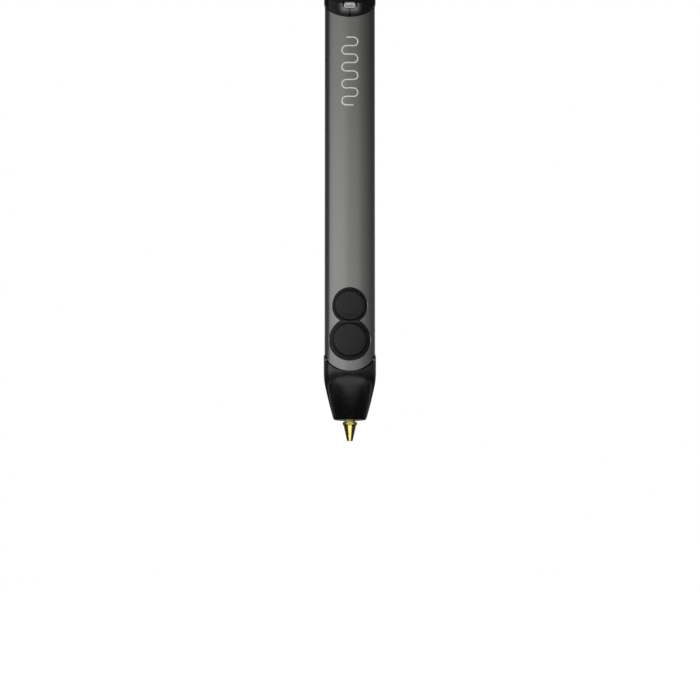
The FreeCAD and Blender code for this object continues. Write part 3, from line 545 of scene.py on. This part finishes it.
def collar():
    """Gloss band with a rounded rim, a hollow round the slider's notch and an index mark."""
    low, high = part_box("switch_collar")
    grow = high.x - HALF_WIDTH
    bottom_centre = low.z + COLLAR_R
    seam_low = high.z - SEAM_R + math.sqrt(SEAM_R**2 - high.x**2)
    seam_centre = seam_low + SEAM_R
    notch_floor = seam_low - NOTCH_DEPTH

    def seam(x):
        return seam_centre - math.sqrt(SEAM_R**2 - x * x)

    def top(x, y):
        if y > 0 or abs(x) >= NOTCH_HALF:
            return seam(x)
        from_corner = abs(x) - (NOTCH_HALF - NOTCH_CORNER)
        if from_corner <= 0:
            return notch_floor
        bulge = math.sqrt(max(0.0, NOTCH_CORNER**2 - from_corner**2))
        return notch_floor + NOTCH_CORNER - bulge

    def inset(x, y, z, z_low):
        # the lower edge runs aslant, so its distance is shorter than the height above it
        slope = math.sqrt(max(0.04, 1 - (x / COLLAR_R) ** 2))
        drop = max(lip_drop((z - z_low) * slope, LIP), lip_drop(seam(x) - z, TOP_LIP))
        if y > 0:
            return drop
        beside = max(0.0, abs(x) - (NOTCH_HALF - NOTCH_CORNER))
        below = max(0.0, notch_floor + NOTCH_CORNER - z)
        gap = math.hypot(beside * FUNNEL_SQUEEZE, below) - NOTCH_CORNER
        if gap < FUNNEL:
            drop += FUNNEL_DEPTH * (1 - max(gap, 0.0) / FUNNEL) ** 2
        drop += lip_drop(gap, NOTCH_LIP)
        groove = GROOVE_DEPTH * max(0.0, 1 - abs(x) / GROOVE_HALF)
        return drop + groove * smoothstep((gap - GROOVE_START) / GROOVE_RUN_IN)

    turns = collar_turns()
    outer = []
    for row in range(COLLAR_ROWS + 1):
        share = row / COLLAR_ROWS
        share -= CROWDING * math.sin(2 * math.pi * share)
        loop = []
        for turn in turns:
            x, y = oval(turn, grow)
            z_low = bottom_centre - math.sqrt(COLLAR_R**2 - x * x)
            z = z_low + (top(x, y) - z_low) * share
            loop.append(oval(turn, grow - inset(x, y, z, z_low)) + (z,))
        outer.append(loop)
    inside = [[oval(turn, COLLAR_INNER) + (p[2],) for turn, p in zip(turns, edge)]
              for edge in (outer[-1], outer[0])]
    bm = bmesh.new()
    bands(bm, outer + inside, closed=True)
    settle(add_object("switch_collar_shell", bm), "gloss_black", "pen", "switch_collar")


def collar_turns():
    """Normal directions round the oval, close together near the notch and the groove."""
    front = [math.asin(x * MM / END_R) for x in COLLAR_MARKS]
    last = front[-1]
    half = front + [last + (math.pi - last) * i / COLLAR_SIDE_STEPS
                    for i in range(1, COLLAR_SIDE_STEPS + 1)]
    return [-turn for turn in reversed(half[1:-1])] + half


# ---- mode slider ---------------------------------------------------------------------
KNOB_HALF = (1.95 * MM, 1.07 * MM)
KNOB_CORNER = 0.85 * MM
KNOB_BEVEL = 0.38 * MM
KNOB_BEVEL_STEPS = 8
KNOB_DISH = 0.1 * MM
KNOB_DISH_STEPS = 5
KNOB_CLEAR = 0.13 * MM         # between the pill's back and the body's oval
NECK_HALF = 0.8 * MM
NECK_OVERLAP = 0.1 * MM        # the neck starts inside the pill


def rounded_rectangle(half_w, half_h, corner, steps=12):
    """Outline points in the plane of X and Z, anticlockwise from the right side."""
    points = []
    for quarter, (sx, sz) in enumerate(((1, 1), (-1, 1), (-1, -1), (1, -1))):
        for i in range(steps + 1):
            a = math.pi / 2 * (quarter + i / steps)
            x = sx * (half_w - corner) + corner * math.cos(a)
            points.append((x, sz * (half_h - corner) + corner * math.sin(a)))
    return points


def knob():
    """Silver pill with a rounded rim and a shallow thumb dish, on a flat neck."""
    low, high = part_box("mode_knob")
    centre_z = (low.z + high.z) / 2
    face = low.y
    base = -(HALF_DEPTH + KNOB_CLEAR)

    def loop(inset, y):
        corner = max(KNOB_CORNER - inset, 0.05 * MM)
        outline = rounded_rectangle(KNOB_HALF[0] - inset, KNOB_HALF[1] - inset, corner)
        return [(x, y, centre_z + z) for x, z in outline]

    loops = [loop(0.0, base), loop(0.0, face + KNOB_BEVEL)]
    for i in range(1, KNOB_BEVEL_STEPS + 1):
        a = math.pi / 2 * i / KNOB_BEVEL_STEPS
        inset = KNOB_BEVEL * (1 - math.cos(a))
        loops.append(loop(inset, face + KNOB_BEVEL * (1 - math.sin(a))))
    reach = KNOB_HALF[1] - KNOB_BEVEL - 0.06 * MM
    for i in range(1, KNOB_DISH_STEPS + 1):
        share = i / KNOB_DISH_STEPS
        loops.append(loop(KNOB_BEVEL + reach * share, face + KNOB_DISH * smoothstep(share)))
    bm = bmesh.new()
    skin(bm, loops)
    neck_low = middle("mode_switch_actuator").z - 0.55 * MM
    neck_high = high.z - 0.05 * MM
    corners = ((-NECK_HALF, neck_low), (NECK_HALF, neck_low), (NECK_HALF, neck_high),
               (-NECK_HALF, neck_high))
    skin(bm, [[(x, y, z) for x, z in corners] for y in (base + NECK_OVERLAP, high.y)])
    settle(add_object("mode_slider_knob", bm), "silver_knob", "mode_slider", "mode_knob")


# ---- nozzle --------------------------------------------------------------------------
NOZZLE_POINTS = 192
HEX_FLATS = 4.2 * MM           # across the flats
HEX_LOW = 5.0 * MM
HEX_HIGH = 6.3 * MM
HEX_CHAMFER = 0.5 * MM
CHAMFER_STEPS = 10
CONE_TOP_R = 2.05 * MM
CONE_STEPS = 8
TIP_R = 0.95 * MM
TIP_BEVEL = 0.1 * MM
TIP_STEPS = 4
ORIFICE_R = 0.35 * MM
ORIFICE_LENGTH = 1.5 * MM
BORE_R = 1.0 * MM
NECK_R = 1.65 * MM
SHANK_R = 2.0 * MM
SHANK_LOW = 7.7 * MM
THREAD_DEPTH = 0.25 * MM
THREAD_PITCH = 0.6 * MM


def nozzle():
    """Turned cone, six spanner flats with turned corners, neck and ridged shank."""
    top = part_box("nozzle")[1].z
    corner_r = HEX_FLATS / math.sqrt(3)

    def flats(a):
        return HEX_FLATS / 2 / math.cos(a % (math.pi / 3) - math.pi / 6)

    def loop(z, radius, hexed=False):
        ring = []
        for i in range(NOZZLE_POINTS):
            a = 2 * math.pi * i / NOZZLE_POINTS
            r = min(radius, flats(a)) if hexed else radius
            ring.append((r * math.cos(a), r * math.sin(a), z))
        return ring

    loops = [loop(top - 0.1 * MM, BORE_R), loop(HEX_LOW + 0.4 * MM, BORE_R),
             loop(ORIFICE_LENGTH, ORIFICE_R), loop(0.06 * MM, ORIFICE_R),
             loop(0.0, ORIFICE_R + 0.05 * MM)]
    for i in range(TIP_STEPS + 1):
        a = math.pi / 2 * i / TIP_STEPS
        loops.append(loop(TIP_BEVEL * (1 - math.cos(a)),
                          TIP_R - TIP_BEVEL * (1 - math.sin(a))))
    for i in range(1, CONE_STEPS + 1):
        share = i / CONE_STEPS
        z = TIP_BEVEL + (HEX_LOW - TIP_BEVEL) * share
        loops.append(loop(z, TIP_R + (CONE_TOP_R - TIP_R) * share))
    for i in range(1, CHAMFER_STEPS + 1):
        share = i / CHAMFER_STEPS
        loops.append(loop(HEX_LOW + HEX_CHAMFER * share,
                          CONE_TOP_R + (corner_r - CONE_TOP_R) * share, True))
    for i in range(CHAMFER_STEPS + 1):
        share = i / CHAMFER_STEPS
        loops.append(loop(HEX_HIGH - HEX_CHAMFER * (1 - share),
                          corner_r + (CONE_TOP_R - corner_r) * share, True))
    loops.append(loop(HEX_HIGH + 0.02 * MM, NECK_R))
    loops.append(loop(SHANK_LOW, NECK_R))
    root = SHANK_LOW + 0.05 * MM
    while root + THREAD_PITCH < top - 0.2 * MM:
        loops.append(loop(root, SHANK_R - THREAD_DEPTH))
        loops.append(loop(root + THREAD_PITCH * 0.4, SHANK_R))
        loops.append(loop(root + THREAD_PITCH * 0.55, SHANK_R))
        root += THREAD_PITCH
    loops.append(loop(top, SHANK_R - 0.2 * MM))
    bm = bmesh.new()
    bands(bm, loops, closed=True)
    return settle(add_object("nozzle_turned", bm, sharp=20.0), "brass", "pen", "nozzle")


# ---- printed mark --------------------------------------------------------------------
MARK_TOP = 132.0 * MM
MARK_LENGTH = 22.5 * MM
MARK_WIDTH = 5.2 * MM
MARK_RUNS = 9
MARK_STEPS = 12                # points along a run, and round a bend
STROKE = 0.4 * MM
INK = 0.02 * MM                # the mark's height above the tube


def printed_mark():
    """Plain zigzag bead printed on the front, the pattern that such a pen draws."""
    pitch = MARK_LENGTH / (MARK_RUNS - 1)
    half = MARK_WIDTH / 2 - pitch / 2
    path = []
    for run in range(MARK_RUNS):
        z = MARK_TOP - pitch * run
        side = 1 if run % 2 == 0 else -1
        for i in range(MARK_STEPS + 1):
            path.append((side * half * (2 * i / MARK_STEPS - 1), z))
        if run < MARK_RUNS - 1:
            for i in range(1, MARK_STEPS):
                a = math.pi / 2 - math.pi * i / MARK_STEPS
                path.append((side * (half + pitch / 2 * math.cos(a)),
                             z - pitch / 2 + pitch / 2 * math.sin(a)))
    loops = []
    for i, (x, z) in enumerate(path):
        before = path[max(i - 1, 0)]
        after = path[min(i + 1, len(path) - 1)]
        along = Vector((after[0] - before[0], after[1] - before[1])).normalized()
        across = Vector((-along.y, along.x)) * STROKE / 2
        loop = []
        for side, lift in ((-1, -INK), (-1, INK), (1, INK), (1, -INK)):
            px = x + side * across.x
            loop.append((px, front_y(px, lift), z + side * across.y))
        loops.append(loop)
    bm = bmesh.new()
    skin(bm, loops)
    settle(add_object("printed_mark", bm), "ceramic_white", "pen")


button("fast_button_cap", "fast_button", "fast_button_body")
button("slow_button_cap", "slow_button", "slow_button_body")
collar()
knob()
NOZZLE = nozzle()
printed_mark()


# ---- stage, light and camera ---------------------------------------------------------
TENT_R = 0.95
TENT_Z = 0.06
FLOOR_Z = -0.09
CARD_Z = -0.085                # the reflected table, just over the floor
CARD_R = 0.88
CARD_Y = -0.12
CARD_SQUASH = 0.6              # the card's black part is longer in X than in Y
CARD_CENTRE_Y = 0.12           # of the black part, measured from the card's own centre
VIEW_DISTANCE = 0.7
VIEW_X = 0.05 * MM
EYE_Z = -31 * MM
AIM_Z = 29.85 * MM
VIEW_WIDTH = 0.2296            # what the picture spans at the pen
# brightness round the tent by azimuth: 0 is the front, and positive is to the right
TENT_LEVELS = (
    (-180, 1.0), (-167, 0.9), (-160, 0.14), (-119, 0.05), (-108, 0.86), (-62, 0.95),
    (-35, 0.93), (-5, 0.72), (40, 0.6), (65, 0.4), (100, 0.22), (125, 0.1), (160, 0.14),
    (168, 0.9), (179.9, 1.0),
)


def glowing(name, level, colour=None):
    """Material that only glows, with that strength."""
    s = Shader(name)
    glow = s.add("ShaderNodeEmission")
    s.feed(glow.inputs["Strength"], level(s))
    s.feed(glow.inputs["Color"], colour(s) if colour else (1, 1, 1, 1))
    s.feed(s.tree.nodes["Material Output"].inputs["Surface"], glow.outputs[0])
    s.tree.nodes.remove(s.bsdf)
    return s.material


def tent_stops():
    """The tent's levels as stops of Blender's radial gradient."""
    stops = []
    for azimuth, level in TENT_LEVELS:
        # the gradient is atan2(y, x) / a turn + a half, and the front is -Y
        angle = math.radians(azimuth - 90)
        share = math.atan2(math.sin(angle), math.cos(angle)) / (2 * math.pi) + 0.5
        stops.append((share, level))
    return sorted(stops)


def light_tent():
    """Sphere whose inside glows by direction: bright at the front left, dark at the sides."""
    def colour(s):
        radial = s.add("ShaderNodeTexGradient", gradient_type="RADIAL")
        s.feed(radial.inputs["Vector"], s.coords)
        ramp = s.add("ShaderNodeValToRGB")
        s.feed(ramp.inputs["Fac"], radial.outputs["Fac"])
        stops = tent_stops()
        elements = ramp.color_ramp.elements
        for place, _ in stops[1:-1]:
            elements.new(place)
        for element, (place, value) in zip(elements, stops):
            element.position = place
            element.color = (value, value, value, 1.0)
        return ramp.outputs["Color"]

    def level(s):
        height = s.place()["Z"]
        high = s.ramp(height, 0.0, 0.45, 1.32, 0.4, True)
        low = s.ramp(height, -0.06, 0.045, 0.12, 1.0, True)
        return s.math("MULTIPLY", high, low)

    bpy.ops.mesh.primitive_uv_sphere_add(segments=64, ring_count=32, radius=TENT_R,
                                         location=(0, 0, TENT_Z))
    tent = bpy.context.object
    tent.name = "light_tent"
    tent.data.materials.append(glowing("light_tent_glow", level, colour))
    tent.visible_camera = False


def floor():
    """White paper that glows a little, so that it stays as bright as the background."""
    bpy.ops.mesh.primitive_plane_add(size=3.0, location=(0, 0, FLOOR_Z))
    plane = bpy.context.object
    plane.name = "floor"
    s = Shader("floor_paper")
    paper = s.noise(0.4, 4.0)
    s.set(Base_Color=s.blend(paper, (0.9, 0.9, 0.9, 1), (0.93, 0.93, 0.93, 1)))
    s.set(Roughness=0.8, Emission_Color=(1, 1, 1, 1), Emission_Strength=0.82)
    plane.data.materials.append(s.material)


def table_card():
    """Card under the pen that only reflections see: black near it, lit far in front."""
    bpy.ops.mesh.primitive_circle_add(vertices=64, radius=CARD_R, fill_type="NGON",
                                      location=(0, CARD_Y, CARD_Z))
    card = bpy.context.object
    card.name = "table_card"

    def level(s):
        place = s.place()
        back = s.math("SUBTRACT", place["Y"], CARD_CENTRE_Y)
        reach = s.hypot(s.math("MULTIPLY", place["X"], CARD_SQUASH), back)
        lit = s.ramp(reach, 0.215, 0.285, 0.01, 1.05, True)
        front = s.ramp(back, -0.3, 0.1, 1.0, 0.06)
        return s.math("MULTIPLY", lit, front)

    card.data.materials.append(glowing("table_card_glow", level))
    card.visible_camera = False
    card.visible_diffuse = False
    card.visible_shadow = False


def world():
    """Plain white background."""
    studio = bpy.data.worlds.new("studio")
    bpy.context.scene.world = studio
    studio.use_nodes = True
    background = studio.node_tree.nodes["Background"]
    background.inputs["Color"].default_value = (1, 1, 1, 1)
    background.inputs["Strength"].default_value = 1.0


def softbox(name, place, aim, size, radiance, lit):
    """Soft rectangular lamp for the objects in lit; radiance is its face's brightness."""
    data = bpy.data.lights.new(name, "AREA")
    data.shape = "RECTANGLE"
    data.size, data.size_y = size
    data.energy = radiance * math.pi * size[0] * size[1]
    lamp = link(name, data)
    lamp.location = place
    lamp.rotation_euler = (Vector(aim) - Vector(place)).to_track_quat("-Z", "Y").to_euler()
    lamp.visible_camera = False
    receivers = bpy.data.collections.new(name + "_lights")
    for obj in lit:
        receivers.objects.link(obj)
    lamp.light_linking.receiver_collection = receivers


def camera():
    """Looks slightly upwards at the nose, from below it and in front."""
    eye = Vector((VIEW_X, -VIEW_DISTANCE, EYE_Z))
    aim = Vector((VIEW_X, 0, AIM_Z))
    data = bpy.data.cameras.new("camera")
    data.sensor_width = 36.0
    data.lens = data.sensor_width * (aim - eye).length / VIEW_WIDTH
    data.clip_start = 0.01
    data.clip_end = 20.0
    viewer = link("camera", data)
    viewer.location = eye
    viewer.rotation_euler = (aim - eye).to_track_quat("-Z", "Y").to_euler()
    bpy.context.scene.camera = viewer


world()
floor()
table_card()
light_tent()
softbox("nozzle_card", (0, -0.022, -0.007), (0, 0, 0.003), (0.03, 0.009), 1.2, [NOZZLE])
camera()
bpy.context.scene.view_settings.view_transform = "Standard"
